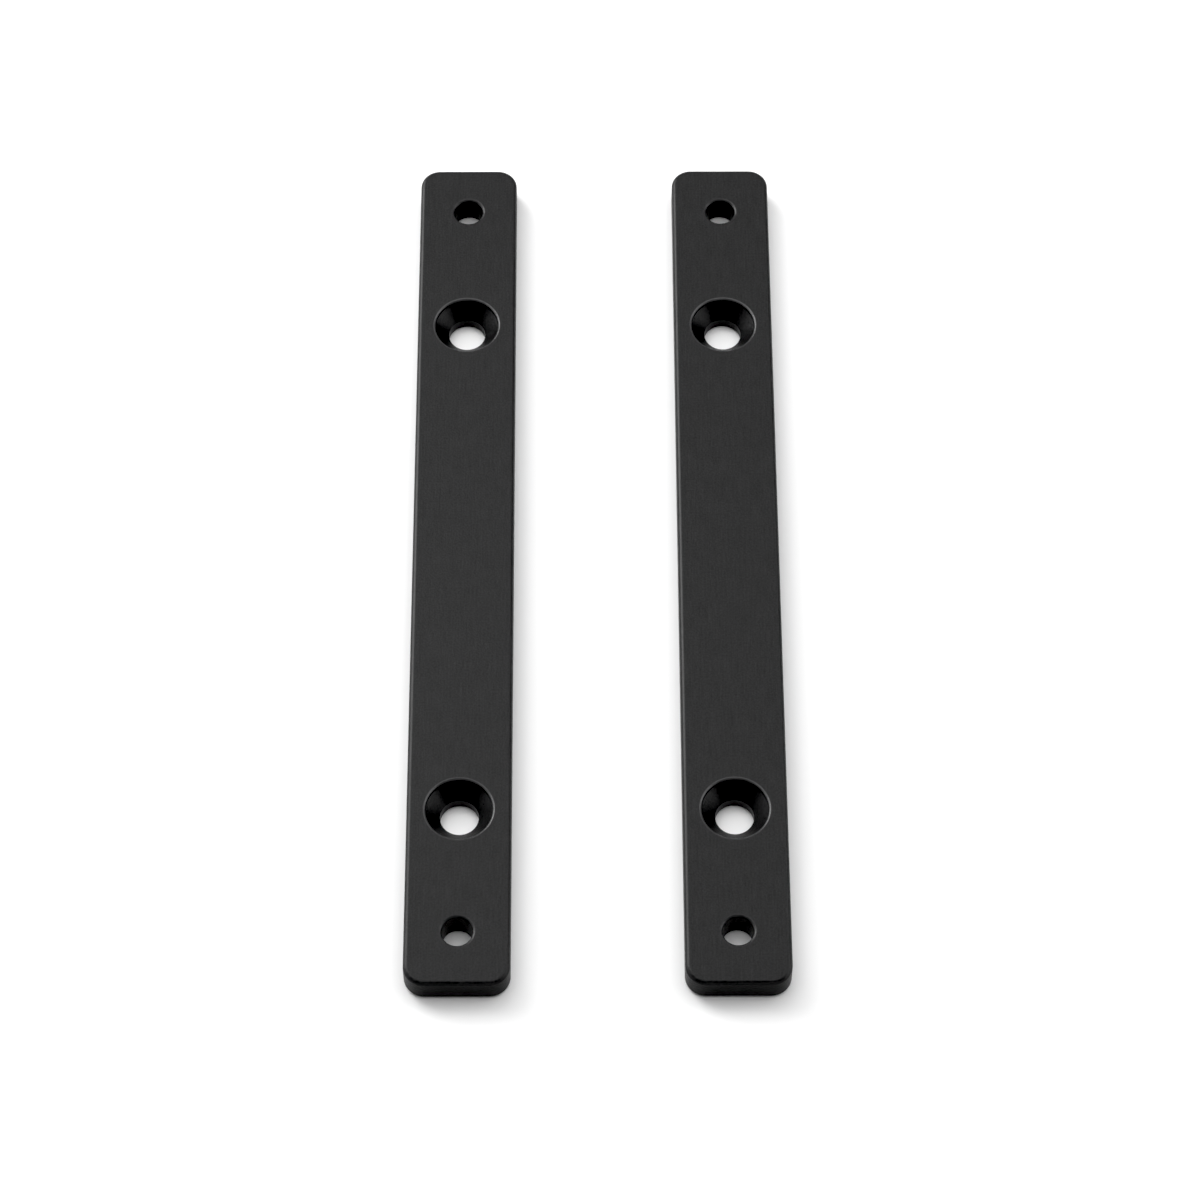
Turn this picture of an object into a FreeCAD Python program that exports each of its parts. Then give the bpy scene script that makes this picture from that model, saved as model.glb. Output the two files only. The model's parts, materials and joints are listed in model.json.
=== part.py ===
import FreeCAD, Part
import os
import Sketcher

# A pair of flat mounting bars for a splitboard, in millimetres.
# Each bar is one piece of aluminium flat bar with two sunk countersunk screw
# holes and two plain end holes, all through the thickness on its centre line.
# Frame: origin on the underside plane, midway between the two bars and midway
# along them. +Y runs along the bars towards their far ends, +Z is up.

# Driving dimensions: word, value in millimetres or degrees, meaning.
SIZES = (
    ("bar_length", 190.0, "overall length of one bar"),
    ("bar_width", 20.0, "overall width of one bar"),
    ("bar_thickness", 6.0, "thickness of one bar"),
    ("bar_spacing", 52.5, "centre line to centre line of the two bars"),
    ("corner_radius", 4.0, "rounding of the four upright corners"),
    ("edge_round", 0.9, "rounding of the top and bottom outline edges"),
    ("screw_hole_diameter", 7.4, "loose clearance hole for a 6 mm countersunk screw"),
    ("head_diameter", 12.8, "recess that the screw head sinks into"),
    ("head_sink", 0.9, "straight depth of the recess above its cone"),
    ("head_angle", 90.0, "full angle of the countersink cone"),
    ("head_rim_round", 0.5, "rounding of the recess rim"),
    ("screw_far_margin", 40.0, "far end of the bar to the far screw hole"),
    ("screw_near_margin", 37.0, "near end of the bar to the near screw hole"),
    ("end_hole_diameter", 5.8, "clearance hole for a 5 mm screw"),
    ("end_rim_round", 0.6, "rounding of the top rim of an end hole"),
    ("end_hole_margin", 11.0, "either end of the bar to its end hole"),
    ("back_chamfer", 0.3, "edge break where every hole leaves the underside"),
)

BAR_SIDES = (("mounting_bar_left", -1), ("mounting_bar_right", 1))

# How near a coordinate has to be to a plane or a radius to count as on it.
NEAR = 1e-4


def make_sheet(doc):
    """Puts every driving dimension in the spreadsheet under its own word."""
    sheet = doc.addObject("Spreadsheet::Sheet", "Sizes")
    for row, (word, value, meaning) in enumerate(SIZES, start=1):
        sheet.set(f"A{row}", word)
        sheet.set(f"B{row}", str(value))
        sheet.set(f"C{row}", meaning)
        sheet.setAlias(f"B{row}", word)
    doc.recompute()
    return sheet


def flat_sketch(body, name, height=None):
    """An empty sketch parallel to the body's own XY plane, raised by height."""
    sketch = body.newObject("Sketcher::SketchObject", name)
    plane = [f for f in body.Origin.OriginFeatures if f.Role == "XY_Plane"][0]
    sketch.AttachmentSupport = [(plane, "")]
    sketch.MapMode = "FlatFace"
    if height:
        sketch.setExpression("AttachmentOffset.Base.z", height)
    return sketch


def bind(sketch, constraint, word, expression):
    """Adds a dimension to a sketch, names it and ties it to the sheet."""
    index = sketch.addConstraint(constraint)
    sketch.renameConstraint(index, word)
    sketch.setExpression(f"Constraints.{word}", expression)


def outline_sketch(body, sheet):
    """The bar's rectangle, centred on the body's origin."""
    sketch = flat_sketch(body, "Outline")
    half_x = sheet.bar_width / 2
    half_y = sheet.bar_length / 2
    corners = (
        FreeCAD.Vector(-half_x, -half_y, 0),
        FreeCAD.Vector(half_x, -half_y, 0),
        FreeCAD.Vector(half_x, half_y, 0),
        FreeCAD.Vector(-half_x, half_y, 0),
    )
    for i in range(4):
        sketch.addGeometry(Part.LineSegment(corners[i], corners[(i + 1) % 4]))
    for i in range(4):
        sketch.addConstraint(Sketcher.Constraint("Coincident", i, 2, (i + 1) % 4, 1))
    for i in (0, 2):
        sketch.addConstraint(Sketcher.Constraint("Horizontal", i))
    for i in (1, 3):
        sketch.addConstraint(Sketcher.Constraint("Vertical", i))
    # The two ends of a diagonal lie opposite each other about the origin.
    sketch.addConstraint(Sketcher.Constraint("Symmetric", 0, 1, 2, 1, -1, 1))
    width = Sketcher.Constraint("DistanceX", 0, 1, 0, 2, sheet.bar_width)
    length = Sketcher.Constraint("DistanceY", 1, 1, 1, 2, sheet.bar_length)
    bind(sketch, width, "width", "Sizes.bar_width")
    bind(sketch, length, "length", "Sizes.bar_length")
    return sketch


def hole_sketch(body, name, diameter_word, far_margin, near_margin, sheet):
    """Two hole circles on the top face, on the bar's centre line."""
    sketch = flat_sketch(body, name, "Sizes.bar_thickness")
    half = sheet.bar_length / 2
    radius = sheet.get(diameter_word) / 2
    far = half - sheet.get(far_margin)
    near = half - sheet.get(near_margin)
    for y in (far, -near):
        centre = FreeCAD.Vector(0, y, 0)
        sketch.addGeometry(Part.Circle(centre, FreeCAD.Vector(0, 0, 1), radius))
    for i in (0, 1):
        # -2 is the sketch's vertical axis, which is the bar's centre line.
        sketch.addConstraint(Sketcher.Constraint("PointOnObject", i, 3, -2))
    far_from_middle = Sketcher.Constraint("DistanceY", -1, 1, 0, 3, far)
    near_from_middle = Sketcher.Constraint("DistanceY", 1, 3, -1, 1, near)
    bind(sketch, far_from_middle, "far", f"Sizes.bar_length / 2 - Sizes.{far_margin}")
    bind(sketch, near_from_middle, "near", f"Sizes.bar_length / 2 - Sizes.{near_margin}")
    for i, word in ((0, "far_radius"), (1, "near_radius")):
        size = Sketcher.Constraint("Radius", i, radius)
        bind(sketch, size, word, f"Sizes.{diameter_word} / 2")
    return sketch


def on_height(edge, z):
    """True where the whole edge lies in the level plane at height z."""
    box = edge.BoundBox
    return abs(box.ZMin - z) < NEAR and abs(box.ZMax - z) < NEAR


def named_edges(shape, wanted):
    """Names of the edges of a shape that the test picks out."""
    return [f"Edge{i}" for i, edge in enumerate(shape.Edges, start=1) if wanted(edge)]


def edge_feature(body, kind, name, size_property, expression, wanted, count):
    """A fillet or chamfer on the picked edges of the body's latest solid."""
    base = body.Tip
    edges = named_edges(base.Shape, wanted)
    if len(edges) != count:
        raise RuntimeError(f"{body.Name} {name}: {len(edges)} edges, not {count}")
    feature = body.newObject(kind, name)
    feature.Base = (base, edges)
    feature.setExpression(size_property, expression)
    body.Document.recompute()
    return feature


def drill(body, sketch, name, hole_cut, sizes):
    """A pair of through holes, checked to have taken material away."""
    before = body.Shape.Volume
    hole = body.newObject("PartDesign::Hole", name)
    hole.Profile = sketch
    hole.DepthType = "ThroughAll"
    hole.HoleCutType = hole_cut
    hole.HoleCutCustomValues = True
    for word, expression in sizes:
        hole.setExpression(word, expression)
    body.Document.recompute()
    if not hole.Shape.Volume < before - NEAR:
        raise RuntimeError(f"{body.Name} {name} cut nothing")
    return hole


def make_bar(doc, sheet, label, side):
    """One bar, lying flat, on its own side of the pair."""
    body = doc.addObject("PartDesign::Body", label)
    body.Label = label
    body.setExpression("Placement.Base.x", f"{side} * Sizes.bar_spacing / 2")

    outline = outline_sketch(body, sheet)
    slab = body.newObject("PartDesign::Pad", "Slab")
    slab.Profile = outline
    slab.setExpression("Length", "Sizes.bar_thickness")
    doc.recompute()

    def upright(edge):
        return edge.BoundBox.ZLength > sheet.bar_thickness - NEAR

    edge_feature(
        body, "PartDesign::Fillet", "Corners", "Radius",
        "Sizes.corner_radius", upright, 4,
    )

    # The whole outline edge, four straights and four corner arcs at each face.
    def outline_edge(edge):
        return on_height(edge, sheet.bar_thickness) or on_height(edge, 0)

    edge_feature(
        body, "PartDesign::Fillet", "OutlineEdges", "Radius",
        "Sizes.edge_round", outline_edge, 16,
    )

    screw_centres = hole_sketch(
        body, "ScrewHoleCentres", "screw_hole_diameter",
        "screw_far_margin", "screw_near_margin", sheet,
    )
    drill(body, screw_centres, "ScrewHoles", "Counterdrill", (
        ("Diameter", "Sizes.screw_hole_diameter"),
        ("HoleCutDiameter", "Sizes.head_diameter"),
        ("HoleCutDepth", "Sizes.head_sink"),
        ("HoleCutCountersinkAngle", "Sizes.head_angle"),
    ))

    end_centres = hole_sketch(
        body, "EndHoleCentres", "end_hole_diameter",
        "end_hole_margin", "end_hole_margin", sheet,
    )
    drill(body, end_centres, "EndHoles", "None", (
        ("Diameter", "Sizes.end_hole_diameter"),
    ))

    def round_edge(edge, z, radius):
        if not on_height(edge, z) or not isinstance(edge.Curve, Part.Circle):
            return False
        centred = abs(edge.Curve.Center.x) < NEAR
        return centred and abs(edge.Curve.Radius - radius) < NEAR

    def head_rim(edge):
        return round_edge(edge, sheet.bar_thickness, sheet.head_diameter / 2)

    def end_rim(edge):
        return round_edge(edge, sheet.bar_thickness, sheet.end_hole_diameter / 2)

    def back_rim(edge):
        radii = (sheet.screw_hole_diameter / 2, sheet.end_hole_diameter / 2)
        return any(round_edge(edge, 0, radius) for radius in radii)

    edge_feature(
        body, "PartDesign::Fillet", "HeadRims", "Radius",
        "Sizes.head_rim_round", head_rim, 2,
    )
    edge_feature(
        body, "PartDesign::Fillet", "EndRims", "Radius",
        "Sizes.end_rim_round", end_rim, 2,
    )
    edge_feature(
        body, "PartDesign::Chamfer", "BackEdges", "Size",
        "Sizes.back_chamfer", back_rim, 4,
    )
    return body


def check(doc, bars):
    """Stops before anything is written if an object failed or a solid is bad."""
    for item in doc.Objects:
        if "Invalid" in item.State or "Error" in item.State:
            raise RuntimeError(f"{item.Name} is {item.State}")
    for bar in bars:
        shape = bar.Shape
        if shape.isNull() or not shape.isValid() or len(shape.Solids) != 1:
            raise RuntimeError(f"{bar.Label} is not one valid solid")


def main():
    doc = FreeCAD.newDocument("MountingBars")
    sheet = make_sheet(doc)
    bars = [make_bar(doc, sheet, label, side) for label, side in BAR_SIDES]
    doc.recompute()
    check(doc, bars)
    os.makedirs("parts", exist_ok=True)
    for bar in bars:
        bar.Shape.exportStep(os.path.join("parts", f"{bar.Label}.step"))
        box = bar.Shape.BoundBox
        print(bar.Label, "volume", round(bar.Shape.Volume, 2), "box", box)


main()
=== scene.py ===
import json
import math

import bmesh
import bpy
import numpy as np
from mathutils import Matrix, Vector
from mathutils.geometry import delaunay_2d_cdt


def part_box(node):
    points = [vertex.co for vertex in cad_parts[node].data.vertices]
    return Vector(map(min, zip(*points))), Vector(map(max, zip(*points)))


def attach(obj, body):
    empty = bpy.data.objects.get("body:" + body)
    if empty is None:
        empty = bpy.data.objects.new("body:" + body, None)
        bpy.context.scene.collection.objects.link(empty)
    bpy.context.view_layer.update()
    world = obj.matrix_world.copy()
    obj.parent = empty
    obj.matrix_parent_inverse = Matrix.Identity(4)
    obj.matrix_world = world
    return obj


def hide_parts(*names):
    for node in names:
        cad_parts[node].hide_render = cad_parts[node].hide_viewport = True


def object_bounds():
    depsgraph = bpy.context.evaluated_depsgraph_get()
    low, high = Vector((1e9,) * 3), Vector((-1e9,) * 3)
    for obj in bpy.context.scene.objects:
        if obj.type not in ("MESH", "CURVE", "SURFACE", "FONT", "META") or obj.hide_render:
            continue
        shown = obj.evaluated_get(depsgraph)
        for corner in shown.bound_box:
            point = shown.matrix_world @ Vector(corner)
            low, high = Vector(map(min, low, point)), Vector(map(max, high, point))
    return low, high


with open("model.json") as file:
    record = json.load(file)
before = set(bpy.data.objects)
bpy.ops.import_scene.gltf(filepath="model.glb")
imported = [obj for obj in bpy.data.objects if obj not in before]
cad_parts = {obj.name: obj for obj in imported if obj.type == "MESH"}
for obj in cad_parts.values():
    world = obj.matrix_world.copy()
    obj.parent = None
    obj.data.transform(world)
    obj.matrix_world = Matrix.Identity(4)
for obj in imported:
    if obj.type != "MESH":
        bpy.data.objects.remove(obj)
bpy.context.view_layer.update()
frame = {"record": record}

# Sizes are in metres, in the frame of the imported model.
MM = 0.001

# The bar's own shape, with the same sizes as its solid.
CORNER_RADIUS = 4.0 * MM
EDGE_ROUND = 0.9 * MM
HEAD_RADIUS = 6.4 * MM
HEAD_SINK = 0.9 * MM
HEAD_RIM_ROUND = 0.5 * MM
END_RIM_ROUND = 0.6 * MM
BACK_CHAMFER = 0.3 * MM

# Small radii that a tool leaves where two turned faces meet.
TOOL_NOSE = 0.12 * MM
BROKEN_EDGE = 0.06 * MM

# How thin the finish is over each kind of rounded corner, and how strong the painted highlight
# is along the turned ones.
HEAD_RIM_WEAR_AND_HIGHLIGHT = 1.0
END_RIM_WEAR_AND_HIGHLIGHT = 0.35
INNER_WEAR_AND_HIGHLIGHT = 0.3

# The strip of flat face that a turned profile starts and ends on.
LAND = 1.0 * MM

# How finely the round shapes are divided.
CORNER_STEPS = 20
EDGE_STEPS = 7
TURNED_STEPS = 112
ARC_STEPS = 6
WELD = 0.002 * MM

# Attributes of the mesh: each vertex's true direction, how much of a rounded
# edge it lies on (which sets the edge gloss and, on turned rims, wear and a
# painted highlight), how much of a bar's side it lies on, and how far along a
# turned profile it lies, in metres.
FACING = "facing"
WEAR_AND_HIGHLIGHT = "edge_wear_and_highlight"
SIDE = "side_share"
TURN_REACH = "turn_reach"


# ---------------------------------------------------------------------------
# Profiles and rings
# ---------------------------------------------------------------------------

def softened(corners, rounds, steps=ARC_STEPS):
    """Rounds each inner corner of a polyline by its (radius, wear and painted highlight).

    Returns samples (across, up, facing across, facing up, wear and painted
    highlight), where facing points to the right of the direction of travel.
    """
    samples = []
    for i, (radius, wear_and_highlight) in enumerate(rounds, start=1):
        before = (corners[i] - corners[i - 1]).normalized()
        after = (corners[i + 1] - corners[i]).normalized()
        turn = before.angle_signed(after)
        reach = radius * math.tan(abs(turn) / 2)
        start = corners[i] - before * reach
        side = 1 if turn > 0 else -1
        inward = Vector((before.y, -before.x)) * side
        centre = start + inward * radius
        for step in range(steps + 1):
            share = step / steps
            angle = -turn * share
            spoke = Matrix.Rotation(angle, 2) @ -inward
            point = centre + spoke * radius
            facing = Matrix.Rotation(angle, 2) @ Vector((before.y, -before.x))
            worn_and_lit = wear_and_highlight * math.sin(math.pi * share)
            samples.append((point.x, point.y, facing.x, facing.y, worn_and_lit))
    return samples


def rounded_outline(box_low, box_high, inset):
    """Points and outward directions round a bar's rounded rectangle."""
    radius = CORNER_RADIUS - inset
    middle_x = (box_low.x + box_high.x) / 2
    middle_y = (box_low.y + box_high.y) / 2
    reach_x = (box_high.x - box_low.x) / 2 - CORNER_RADIUS
    reach_y = (box_high.y - box_low.y) / 2 - CORNER_RADIUS
    ring = []
    for quarter, (sx, sy) in enumerate(((1, 1), (-1, 1), (-1, -1), (1, -1))):
        for step in range(CORNER_STEPS + 1):
            angle = math.pi / 2 * (quarter + step / CORNER_STEPS)
            out = Vector((math.cos(angle), math.sin(angle)))
            x = middle_x + sx * reach_x + out.x * radius
            y = middle_y + sy * reach_y + out.y * radius
            ring.append((x, y, out.x, out.y))
    return ring


# ---------------------------------------------------------------------------
# Node trees
# ---------------------------------------------------------------------------

def node_maker(tree):
    """Short ways to add a node and to join two sockets of a tree."""
    def add(kind, **values):
        node = tree.nodes.new(kind)
        for key, value in values.items():
            setattr(node, key, value)
        return node

    def join(source, target):
        tree.links.new(source, target)

    return add, join


# ---------------------------------------------------------------------------
# Turned hole walls, by Geometry Nodes
# ---------------------------------------------------------------------------

def turned_hole_tree():
    """A tree that turns a profile about Z and sets it at two hole centres.

    The profile is a row of points in the XZ plane, X being the radius.
    """
    tree = bpy.data.node_groups.new("turned_hole_pair", "GeometryNodeTree")
    sockets = tree.interface
    sockets.new_socket("Profile", in_out="INPUT", socket_type="NodeSocketGeometry")
    sockets.new_socket("Steps Round", in_out="INPUT", socket_type="NodeSocketInt")
    sockets.new_socket("First Centre", in_out="INPUT", socket_type="NodeSocketVector")
    sockets.new_socket("Second Centre", in_out="INPUT", socket_type="NodeSocketVector")
    sockets.new_socket("Weld Distance", in_out="INPUT", socket_type="NodeSocketFloat")
    sockets.new_socket("Finish", in_out="INPUT", socket_type="NodeSocketMaterial")
    sockets.new_socket("Holes", in_out="OUTPUT", socket_type="NodeSocketGeometry")
    add, join = node_maker(tree)
    given = add("NodeGroupInput").outputs

    # A grid with one row for each profile point and one column for each step.
    count = add("GeometryNodeAttributeDomainSize", component="MESH")
    join(given["Profile"], count.inputs["Geometry"])
    columns = add("ShaderNodeMath", operation="ADD")
    join(given["Steps Round"], columns.inputs[0])
    columns.inputs[1].default_value = 1
    grid = add("GeometryNodeMeshGrid")
    join(count.outputs["Point Count"], grid.inputs["Vertices X"])
    join(columns.outputs[0], grid.inputs["Vertices Y"])

    index = add("GeometryNodeInputIndex")
    row = add("ShaderNodeMath", operation="DIVIDE")
    join(index.outputs[0], row.inputs[0])
    join(columns.outputs[0], row.inputs[1])
    row_whole = add("ShaderNodeMath", operation="FLOOR")
    join(row.outputs[0], row_whole.inputs[0])
    column = add("ShaderNodeMath", operation="FLOORED_MODULO")
    join(index.outputs[0], column.inputs[0])
    join(columns.outputs[0], column.inputs[1])
    share = add("ShaderNodeMath", operation="DIVIDE")
    join(column.outputs[0], share.inputs[0])
    join(given["Steps Round"], share.inputs[1])
    angle = add("ShaderNodeMath", operation="MULTIPLY")
    join(share.outputs[0], angle.inputs[0])
    angle.inputs[1].default_value = 2 * math.pi

    def turned(value_node):
        """A vector of the profile, read at this row and turned by the angle."""
        read = add("GeometryNodeSampleIndex", data_type="FLOAT_VECTOR", domain="POINT")
        join(given["Profile"], read.inputs["Geometry"])
        join(value_node, read.inputs["Value"])
        join(row_whole.outputs[0], read.inputs["Index"])
        turn = add("ShaderNodeVectorRotate", rotation_type="Z_AXIS")
        join(read.outputs["Value"], turn.inputs["Vector"])
        join(angle.outputs[0], turn.inputs["Angle"])
        return turn.outputs["Vector"]

    profile_point = add("GeometryNodeInputPosition")
    place = add("GeometryNodeSetPosition")
    join(grid.outputs["Mesh"], place.inputs["Geometry"])
    join(turned(profile_point.outputs[0]), place.inputs["Position"])

    profile_facing = add("GeometryNodeInputNamedAttribute", data_type="FLOAT_VECTOR")
    profile_facing.inputs["Name"].default_value = FACING
    keep_facing = add(
        "GeometryNodeStoreNamedAttribute", data_type="FLOAT_VECTOR", domain="POINT"
    )
    keep_facing.inputs["Name"].default_value = FACING
    join(place.outputs["Geometry"], keep_facing.inputs["Geometry"])
    join(turned(profile_facing.outputs["Attribute"]), keep_facing.inputs["Value"])

    turned_walls = keep_facing
    for attribute in (WEAR_AND_HIGHLIGHT, TURN_REACH):
        given_value = add("GeometryNodeInputNamedAttribute", data_type="FLOAT")
        given_value.inputs["Name"].default_value = attribute
        read = add("GeometryNodeSampleIndex", data_type="FLOAT", domain="POINT")
        join(given["Profile"], read.inputs["Geometry"])
        join(given_value.outputs["Attribute"], read.inputs["Value"])
        join(row_whole.outputs[0], read.inputs["Index"])
        keep = add("GeometryNodeStoreNamedAttribute", data_type="FLOAT", domain="POINT")
        keep.inputs["Name"].default_value = attribute
        join(turned_walls.outputs["Geometry"], keep.inputs["Geometry"])
        join(read.outputs["Value"], keep.inputs["Value"])
        turned_walls = keep

    weld = add("GeometryNodeMergeByDistance")
    join(turned_walls.outputs["Geometry"], weld.inputs["Geometry"])
    join(given["Weld Distance"], weld.inputs["Distance"])

    centres = add("GeometryNodeMeshLine", mode="END_POINTS", count_mode="TOTAL")
    centres.inputs["Count"].default_value = 2
    join(given["First Centre"], centres.inputs["Start Location"])
    join(given["Second Centre"], centres.inputs["Offset"])
    copies = add("GeometryNodeInstanceOnPoints")
    join(centres.outputs["Mesh"], copies.inputs["Points"])
    join(weld.outputs["Geometry"], copies.inputs["Instance"])
    real = add("GeometryNodeRealizeInstances")
    join(copies.outputs["Instances"], real.inputs["Geometry"])
    paint = add("GeometryNodeSetMaterial")
    join(real.outputs["Geometry"], paint.inputs["Geometry"])
    join(given["Finish"], paint.inputs["Material"])
    result = add("NodeGroupOutput")
    join(paint.outputs["Geometry"], result.inputs["Holes"])
    return tree


def set_input(modifier, name, value):
    """Sets a Geometry Nodes input by the identifier of its named socket."""
    for item in modifier.node_group.interface.items_tree:
        if item.item_type == "SOCKET" and item.in_out == "INPUT" and item.name == name:
            modifier[item.identifier] = value


def profile_mesh(name, samples):
    """A row of points in the XZ plane, with its facing and wear attributes."""
    mesh = bpy.data.meshes.new(name)
    mesh.from_pydata([(s[0], 0, s[1]) for s in samples], [], [])
    mesh.attributes.new(FACING, "FLOAT_VECTOR", "POINT")
    mesh.attributes.new(WEAR_AND_HIGHLIGHT, "FLOAT", "POINT")
    mesh.attributes.new(TURN_REACH, "FLOAT", "POINT")
    reach = 0
    for i, (across, up, face_across, face_up, wear_and_highlight) in enumerate(samples):
        if i:
            reach += math.hypot(across - samples[i - 1][0], up - samples[i - 1][1])
        mesh.attributes[FACING].data[i].vector = (face_across, 0, face_up)
        mesh.attributes[WEAR_AND_HIGHLIGHT].data[i].value = wear_and_highlight
        mesh.attributes[TURN_REACH].data[i].value = reach
    return mesh


def turned_holes(name, samples, centres, tree, finish):
    """The walls of the two holes at these centres, as one plain mesh."""
    holder = bpy.data.objects.new(name, profile_mesh(name, samples))
    bpy.context.scene.collection.objects.link(holder)
    modifier = holder.modifiers.new("turned", "NODES")
    modifier.node_group = tree
    set_input(modifier, "Steps Round", TURNED_STEPS)
    set_input(modifier, "First Centre", centres[0])
    set_input(modifier, "Second Centre", centres[1])
    set_input(modifier, "Weld Distance", WELD)
    set_input(modifier, "Finish", finish)
    ready = holder.evaluated_get(bpy.context.evaluated_depsgraph_get())
    walls = bpy.data.meshes.new_from_object(ready)
    holder.modifiers.remove(modifier)
    bpy.data.objects.remove(holder)
    return walls


# ---------------------------------------------------------------------------
# The bars
# ---------------------------------------------------------------------------

def mount_of(name):
    """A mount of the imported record, by name."""
    return next(m for m in frame["record"]["mounts"] if m["name"] == name)


def hole_centres(mount):
    """The far and near hole centres of a two-hole pattern, on the underside."""
    x, y, _ = mount["pos_m"]
    half = mount["dims"]["spacing_y_mm"] * MM / 2
    return [Vector((x, y + half, 0)), Vector((x, y - half, 0))]


def screw_hole_profile(bore, top):
    """From the top face, over the rim, down the recess, cone and bore."""
    cone_top = top - HEAD_SINK
    cone_foot = cone_top - (HEAD_RADIUS - bore)
    corners = [Vector(c) for c in (
        (HEAD_RADIUS + LAND, top),
        (HEAD_RADIUS, top),
        (HEAD_RADIUS, cone_top),
        (bore, cone_foot),
        (bore, BACK_CHAMFER),
        (bore + BACK_CHAMFER, 0),
        (bore + LAND, 0),
    )]
    return softened(corners, (
        (HEAD_RIM_ROUND, HEAD_RIM_WEAR_AND_HIGHLIGHT),
        (TOOL_NOSE, INNER_WEAR_AND_HIGHLIGHT),
        (TOOL_NOSE, INNER_WEAR_AND_HIGHLIGHT),
        (BROKEN_EDGE, INNER_WEAR_AND_HIGHLIGHT),
        (BROKEN_EDGE, INNER_WEAR_AND_HIGHLIGHT),
    ))


def end_hole_profile(bore, top):
    """From the top face, over the round rim and down the bore."""
    corners = [Vector(c) for c in (
        (bore + LAND, top),
        (bore, top),
        (bore, BACK_CHAMFER),
        (bore + BACK_CHAMFER, 0),
        (bore + LAND, 0),
    )]
    return softened(corners, (
        (END_RIM_ROUND, END_RIM_WEAR_AND_HIGHLIGHT),
        (BROKEN_EDGE, INNER_WEAR_AND_HIGHLIGHT),
        (BROKEN_EDGE, INNER_WEAR_AND_HIGHLIGHT),
    ))


def edge_levels(top):
    """(inset, height, facing out, facing up, wear) up the bar's outer wall."""
    levels = []
    for base, sign in ((EDGE_ROUND, -1), (top - EDGE_ROUND, 1)):
        for step in range(EDGE_STEPS + 1):
            share = step / EDGE_STEPS
            angle = math.pi / 2 * (share if sign > 0 else 1 - share)
            inset = EDGE_ROUND * (1 - math.cos(angle))
            height = base + sign * EDGE_ROUND * math.sin(angle)
            facing = (math.cos(angle), sign * math.sin(angle))
            levels.append((inset, height, *facing, math.sin(math.pi * share)))
    return levels


def add_outer_wall(shape, low, high, layers):
    """The bar's sides and rounded outline edges, ring by ring."""
    facing, worn_and_lit, side_share = layers
    rings = []
    for inset, height, out, up, wear_and_highlight in edge_levels(high.z):
        ring = []
        for x, y, out_x, out_y in rounded_outline(low, high, inset):
            vertex = shape.verts.new((x, y, height))
            vertex[facing] = (out_x * out, out_y * out, up)
            vertex[worn_and_lit] = wear_and_highlight
            vertex[side_share] = out ** 3
            ring.append(vertex)
        rings.append(ring)
    for lower, upper in zip(rings, rings[1:]):
        for i in range(len(lower)):
            j = (i + 1) % len(lower)
            shape.faces.new((lower[i], lower[j], upper[j], upper[i]))


def fill_level(shape, height, rims):
    """Closes the flat face at this height, outside its (centre, radius) rims."""
    shape.verts.index_update()
    edges = [
        e for e in shape.edges
        if e.is_boundary and all(abs(v.co.z - height) < WELD for v in e.verts)
    ]
    points = sorted({v for e in edges for v in e.verts}, key=lambda v: v.index)
    place = {vertex: i for i, vertex in enumerate(points)}
    filled = delaunay_2d_cdt(
        [v.co.to_2d() / MM for v in points],
        [[place[v] for v in e.verts] for e in edges],
        [], 0, WELD,
    )
    triangles, source = filled[2], filled[3]
    for triangle in triangles:
        corners = [points[source[i][0]] for i in triangle]
        middle = (corners[0].co + corners[1].co + corners[2].co) / 3
        if all((middle - centre).xy.length > radius for centre, radius in rims):
            shape.faces.new(corners)


def make_bar(node, side, tree, flat_finish, turned_finish):
    """One bar as a single closed mesh that stands for its CAD solid."""
    low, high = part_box(node)
    shape = bmesh.new()
    facing = shape.verts.layers.float_vector.new(FACING)
    shape.verts.layers.float.new(WEAR_AND_HIGHLIGHT)
    shape.verts.layers.float.new(SIDE)
    scalars = shape.verts.layers.float
    add_outer_wall(shape, low, high, (facing, scalars[WEAR_AND_HIGHLIGHT], scalars[SIDE]))

    top_rims = []
    back_rims = []
    for pattern, profile in (
        ("screw_holes", screw_hole_profile), ("end_holes", end_hole_profile),
    ):
        mount = mount_of(f"{side}_{pattern}")
        bore = mount["dims"]["hole_r_mm"] * MM
        samples = profile(bore, high.z)
        centres = hole_centres(mount)
        top_rims += [(centre, samples[0][0]) for centre in centres]
        back_rims += [(centre, samples[-1][0]) for centre in centres]
        walls = turned_holes(
            f"{side}_{pattern}", samples, centres, tree, turned_finish
        )
        made = len(shape.faces)
        shape.from_mesh(walls)
        shape.faces.ensure_lookup_table()
        for face in shape.faces[made:]:
            face.material_index = 1
        bpy.data.meshes.remove(walls)

    bmesh.ops.remove_doubles(shape, verts=shape.verts, dist=WELD)
    fill_level(shape, high.z, top_rims)
    fill_level(shape, low.z, back_rims)
    bmesh.ops.recalc_face_normals(shape, faces=shape.faces)
    loose_edges = sum(1 for e in shape.edges if not e.is_manifold)
    if loose_edges:
        raise RuntimeError(f"{node}: {loose_edges} edges are open")
    for face in shape.faces:
        face.smooth = True

    mesh = bpy.data.meshes.new(f"{side}_bar")
    shape.to_mesh(mesh)
    shape.free()
    mesh.materials.append(flat_finish)
    mesh.materials.append(turned_finish)
    directions = np.zeros(len(mesh.vertices) * 3)
    mesh.attributes[FACING].data.foreach_get("vector", directions)
    mesh.normals_split_custom_set_from_vertices(directions.reshape(-1, 3).tolist())
    mesh.attributes.remove(mesh.attributes[FACING])

    bar = bpy.data.objects.new(f"{side}_bar", mesh)
    bpy.context.scene.collection.objects.link(bar)
    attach(bar, "root")
    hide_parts(node)
    return bar


# ---------------------------------------------------------------------------
# Finishes
# ---------------------------------------------------------------------------

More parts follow.
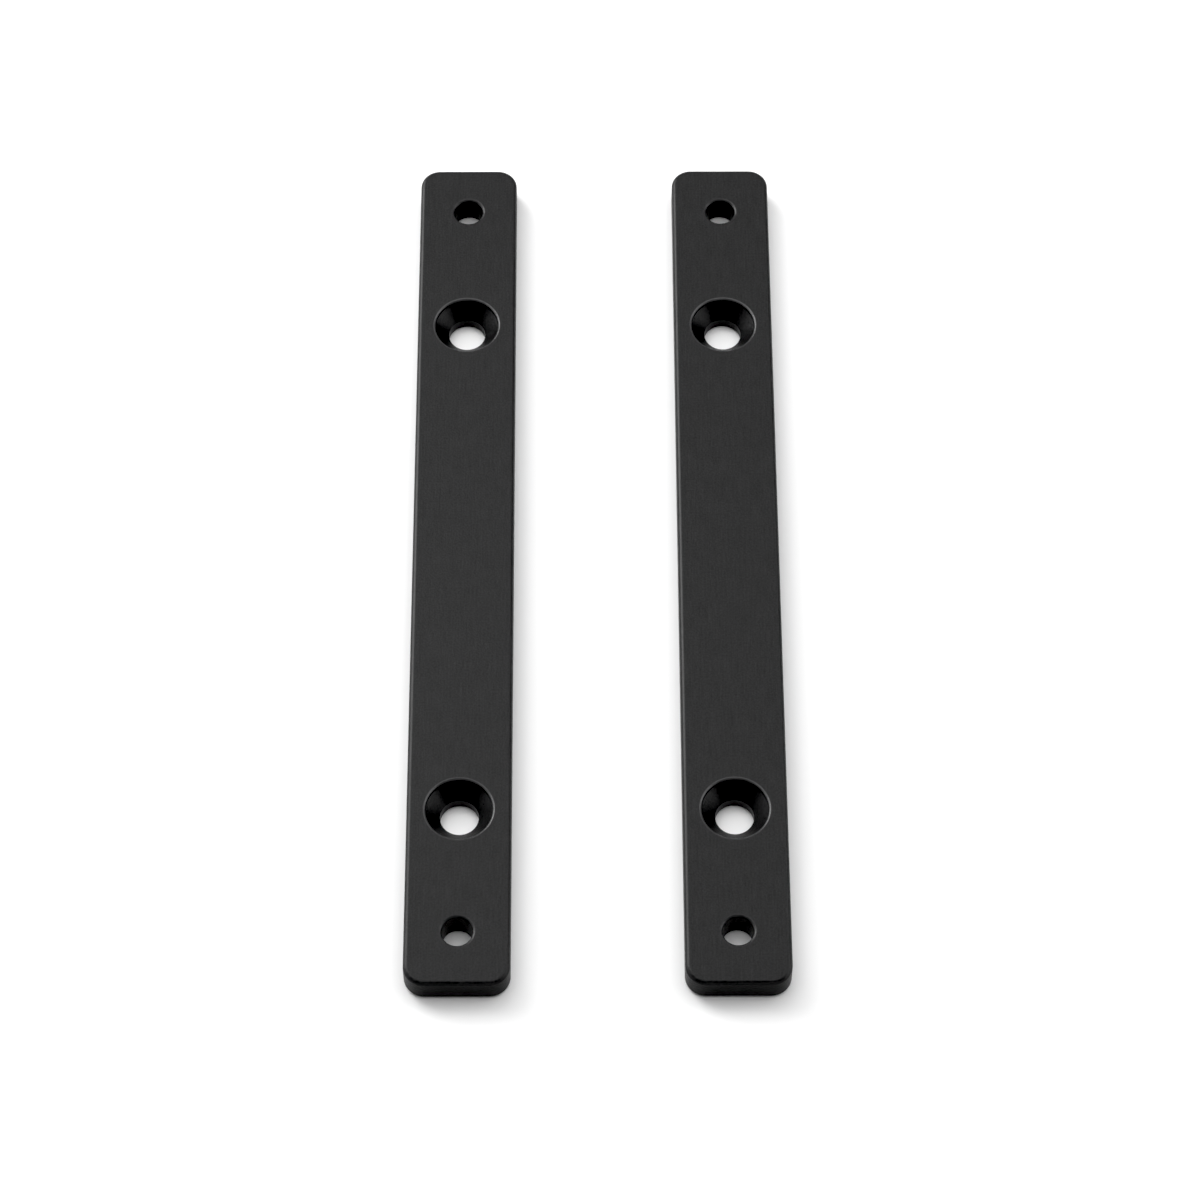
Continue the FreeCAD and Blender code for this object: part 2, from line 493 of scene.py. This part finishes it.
def new_material(name):
    """A node material with its shader, and the two ways to extend it."""
    material = bpy.data.materials.new(name)
    material.use_nodes = True
    tree = material.node_tree
    shader = tree.nodes["Principled BSDF"]
    add, join = node_maker(tree)
    return material, shader, add, join


# The anodised skin: shades in linear light, gloss as a specular level, and
# lengths in metres.
SKIN_DARK = (0.0030, 0.0030, 0.0031, 1)
SKIN_LIGHT = (0.0215, 0.0215, 0.0219, 1)
# The lighter skin of the turned rims: thin, worn anodising, and also a painted highlight along
# each rim.
SKIN_WEAR_AND_HIGHLIGHT = (0.0450, 0.0450, 0.0460, 1)
FACE_GLOSS = 0.185
SIDE_GLOSS = 0.06
EDGE_GLOSS = 0.34
RIM_GLOSS = 0.65
FACE_ROUGHNESS = 0.37
TURNED_ROUGHNESS = 0.33
ROUGHNESS_DRIFT = 0.06
GRAIN_SIZE = 0.40 * MM
GRAIN_DEPTH = 0.050 * MM
STREAK_WIDTH = 0.30 * MM
STREAK_LENGTH = 6 * MM
MOTTLE_SIZE = 3 * MM
TURNING_PITCH = 0.20 * MM
TURNING_DEPTH = 0.0015 * MM


def black_anodise(name, roughness, turned):
    """Matte black anodising over a fine blasted or a turned surface."""
    material, shader, add, join = new_material(name)
    shader.inputs["Metallic"].default_value = 0.0
    shader.inputs["IOR"].default_value = 1.5
    place = add("ShaderNodeTexCoord").outputs["Object"]

    def noise(sizes, detail):
        """Cloudy noise with this feature size across, along and up the bar."""
        stretch = add("ShaderNodeVectorMath", operation="MULTIPLY")
        stretch.inputs[1].default_value = [1 / size for size in sizes]
        join(place, stretch.inputs[0])
        cloud = add("ShaderNodeTexNoise")
        cloud.inputs["Scale"].default_value = 1.0
        cloud.inputs["Detail"].default_value = detail
        join(stretch.outputs["Vector"], cloud.inputs["Vector"])
        return cloud.outputs["Fac"]

    def spread(value, low, high):
        """The middle half of a noise, opened out to this range."""
        fit = add("ShaderNodeMapRange")
        fit.inputs["From Min"].default_value = 0.25
        fit.inputs["From Max"].default_value = 0.75
        fit.inputs["To Min"].default_value = low
        fit.inputs["To Max"].default_value = high
        join(value, fit.inputs["Value"])
        return fit.outputs["Result"]

    def total(first, second):
        addition = add("ShaderNodeMath", operation="ADD")
        join(first, addition.inputs[0])
        join(second, addition.inputs[1])
        return addition.outputs[0]

    # Blasted grain, the lines left along the bar when it was drawn, and a slow
    # drift in the depth of the dye.
    grain = noise((GRAIN_SIZE, GRAIN_SIZE, GRAIN_SIZE), 2)
    streaks = noise((STREAK_WIDTH, STREAK_LENGTH, STREAK_WIDTH), 1)
    mottle = noise((MOTTLE_SIZE, MOTTLE_SIZE, MOTTLE_SIZE), 3)
    shade = total(spread(grain, 0.00, 0.50), spread(mottle, 0.10, 0.25))
    if not turned:
        shade = total(shade, spread(streaks, -0.12, 0.12))

    colour = add("ShaderNodeMix", data_type="RGBA")
    colour.inputs[6].default_value = SKIN_DARK
    colour.inputs[7].default_value = SKIN_LIGHT
    join(shade, colour.inputs[0])

    # The skin is thinner on a turned rim, and shows a little more metal; this lighter colour
    # is also a painted highlight along the rim.
    wear_and_highlight = add("ShaderNodeAttribute", attribute_name=WEAR_AND_HIGHLIGHT)
    if turned:
        thin_and_lit = add("ShaderNodeMix", data_type="RGBA")
        thin_and_lit.inputs[7].default_value = SKIN_WEAR_AND_HIGHLIGHT
        join(wear_and_highlight.outputs["Fac"], thin_and_lit.inputs[0])
        join(colour.outputs[2], thin_and_lit.inputs[6])
        colour = thin_and_lit
    join(colour.outputs[2], shader.inputs["Base Color"])

    # Edges catch more light than faces, and the blasted sides less.
    edge = add("ShaderNodeMapRange")
    edge.inputs["To Min"].default_value = FACE_GLOSS
    edge.inputs["To Max"].default_value = RIM_GLOSS if turned else EDGE_GLOSS
    join(wear_and_highlight.outputs["Fac"], edge.inputs["Value"])
    side = add("ShaderNodeAttribute", attribute_name=SIDE)
    gloss = add("ShaderNodeMix", data_type="FLOAT")
    join(side.outputs["Fac"], gloss.inputs[0])
    join(edge.outputs["Result"], gloss.inputs[2])
    gloss.inputs[3].default_value = SIDE_GLOSS
    join(gloss.outputs[0], shader.inputs["Specular IOR Level"])
    rough = spread(grain, roughness - ROUGHNESS_DRIFT, roughness + ROUGHNESS_DRIFT)
    join(rough, shader.inputs["Roughness"])

    bump = add("ShaderNodeBump")
    bump.inputs["Strength"].default_value = 1.0
    bump.inputs["Distance"].default_value = GRAIN_DEPTH
    join(grain, bump.inputs["Height"])
    if turned:
        reach = add("ShaderNodeAttribute", attribute_name=TURN_REACH)
        phase = add("ShaderNodeMath", operation="MULTIPLY")
        phase.inputs[1].default_value = 2 * math.pi / TURNING_PITCH
        join(reach.outputs["Fac"], phase.inputs[0])
        ridge = add("ShaderNodeMath", operation="SINE")
        join(phase.outputs[0], ridge.inputs[0])
        rings = add("ShaderNodeBump")
        rings.inputs["Strength"].default_value = 1.0
        rings.inputs["Distance"].default_value = TURNING_DEPTH
        join(ridge.outputs[0], rings.inputs["Height"])
        join(bump.outputs["Normal"], rings.inputs["Normal"])
        bump = rings
    join(bump.outputs["Normal"], shader.inputs["Normal"])
    return material


def studio_white():
    """The plain white sweep that the bars lie on."""
    material, shader, add, join = new_material("studio_white")
    shader.inputs["Base Color"].default_value = (0.90, 0.90, 0.90, 1)
    shader.inputs["Roughness"].default_value = 0.9
    shader.inputs["Specular IOR Level"].default_value = 0.1
    return material


# ---------------------------------------------------------------------------
# Floor, light and camera
# ---------------------------------------------------------------------------

FLOOR_REACH = 1500 * MM


def make_floor(low):
    """A wide level floor at the height of the bars' undersides."""
    mesh = bpy.data.meshes.new("floor")
    corners = [
        (sx * FLOOR_REACH, sy * FLOOR_REACH) for sx, sy in ((-1, -1), (1, -1), (1, 1), (-1, 1))
    ]
    mesh.from_pydata([(x, y, low.z) for x, y in corners], [], [(0, 1, 2, 3)])
    mesh.materials.append(studio_white())
    floor = bpy.data.objects.new("floor", mesh)
    bpy.context.scene.collection.objects.link(floor)


def softbox(name, azimuth, elevation, distance, width, height, radiance):
    """A rectangular area light that faces the bars.

    Azimuth is measured from +Y towards +X, in degrees, as a compass is.
    """
    light = bpy.data.lights.new(name, "AREA")
    light.shape = "RECTANGLE"
    light.size = width
    light.size_y = height
    light.energy = radiance * math.pi * width * height
    lamp = bpy.data.objects.new(name, light)
    across = math.radians(azimuth)
    up = math.radians(elevation)
    direction = Vector((
        math.sin(across) * math.cos(up), math.cos(across) * math.cos(up), math.sin(up)
    ))
    lamp.location = direction * distance
    lamp.rotation_euler = direction.to_track_quat("Z", "Y").to_euler()
    bpy.context.scene.collection.objects.link(lamp)


# Name, azimuth and elevation in degrees, distance, width and height in
# metres, and radiance.
SOFTBOXES = (
    ("overhead_softbox", 0, 84, 1.3, 1.60, 1.30, 2.0),
    ("key_softbox", -47, 38, 1.2, 0.65, 0.65, 6.4),
    ("key_skirt", -47, 24, 1.2, 0.65, 0.40, 3.6),
    ("left_strip", -78, 14, 1.2, 1.20, 0.50, 2.1),
    ("left_front_strip", -130, 20, 1.2, 0.90, 0.40, 0.5),
    ("back_high_softbox", -20, 58, 1.2, 0.70, 0.50, 1.8),
    ("back_softbox", 15, 42, 1.3, 0.90, 0.50, 1.5),
    ("right_softbox", 65, 42, 1.2, 0.80, 0.50, 2.0),
    ("right_strip", 95, 18, 1.2, 1.10, 0.60, 2.5),
    ("front_strip", 170, 14, 1.2, 0.90, 0.40, 1.3),
)


def make_lights():
    """Soft light all round, strongest from the left and a little behind."""
    for values in SOFTBOXES:
        softbox(*values)
    world = bpy.data.worlds.new("studio_air")
    world.use_nodes = True
    air = world.node_tree.nodes["Background"]
    air.inputs["Color"].default_value = (1, 1, 1, 1)
    air.inputs["Strength"].default_value = 0.0
    bpy.context.scene.world = world


# The shade, in linear light, that prints as black.
BLACK_LEVEL = 0.016

# The view: a long lens looks down along the bars from their near ends.
VIEW_ELEVATION = 58.17
VIEW_AZIMUTH = 0.516
VIEW_ROLL = -0.312
VIEW_DISTANCE = 790.0 * MM
VIEW_LENS = 119.75
SENSOR_WIDTH = 36.0
AIM_ACROSS = 0.86 * MM
AIM_ALONG = -7.69 * MM


def make_camera():
    """A camera at the viewing angle, aimed near the middle of the pair."""
    camera = bpy.data.cameras.new("view")
    camera.lens = VIEW_LENS
    camera.sensor_width = SENSOR_WIDTH
    camera.clip_start = 0.01
    camera.clip_end = 20
    up_angle = math.radians(VIEW_ELEVATION)
    turn = Matrix.Rotation(math.radians(-VIEW_AZIMUTH), 3, "Z")
    roll = math.radians(VIEW_ROLL)
    aim = turn @ Vector((AIM_ACROSS, AIM_ALONG, 0))
    back = turn @ Vector((0, -math.cos(up_angle), math.sin(up_angle)))
    level = turn @ Vector((1, 0, 0))
    lift = back.cross(level)
    right = level * math.cos(roll) - lift * math.sin(roll)
    above = level * math.sin(roll) + lift * math.cos(roll)
    pose = Matrix((right, above, back)).transposed().to_4x4()
    pose.translation = aim + back * VIEW_DISTANCE
    viewer = bpy.data.objects.new("view", camera)
    viewer.matrix_world = pose
    bpy.context.scene.collection.objects.link(viewer)
    bpy.context.scene.camera = viewer


def make_exposure():
    """Plain colours, with the deepest shade taken down to black."""
    view = bpy.context.scene.view_settings
    view.view_transform = "Standard"
    view.use_curve_mapping = True
    view.curve_mapping.black_level = (BLACK_LEVEL,) * 3
    view.curve_mapping.update()


def main():
    make_camera()
    make_lights()
    blasted = black_anodise("blasted_black_anodise", FACE_ROUGHNESS, turned=False)
    turned = black_anodise("turned_black_anodise", TURNED_ROUGHNESS, turned=True)
    tree = turned_hole_tree()
    for side in ("left", "right"):
        make_bar(f"mounting_bar_{side}", side, tree, blasted, turned)
    low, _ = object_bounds()
    make_floor(low)
    make_exposure()


main()
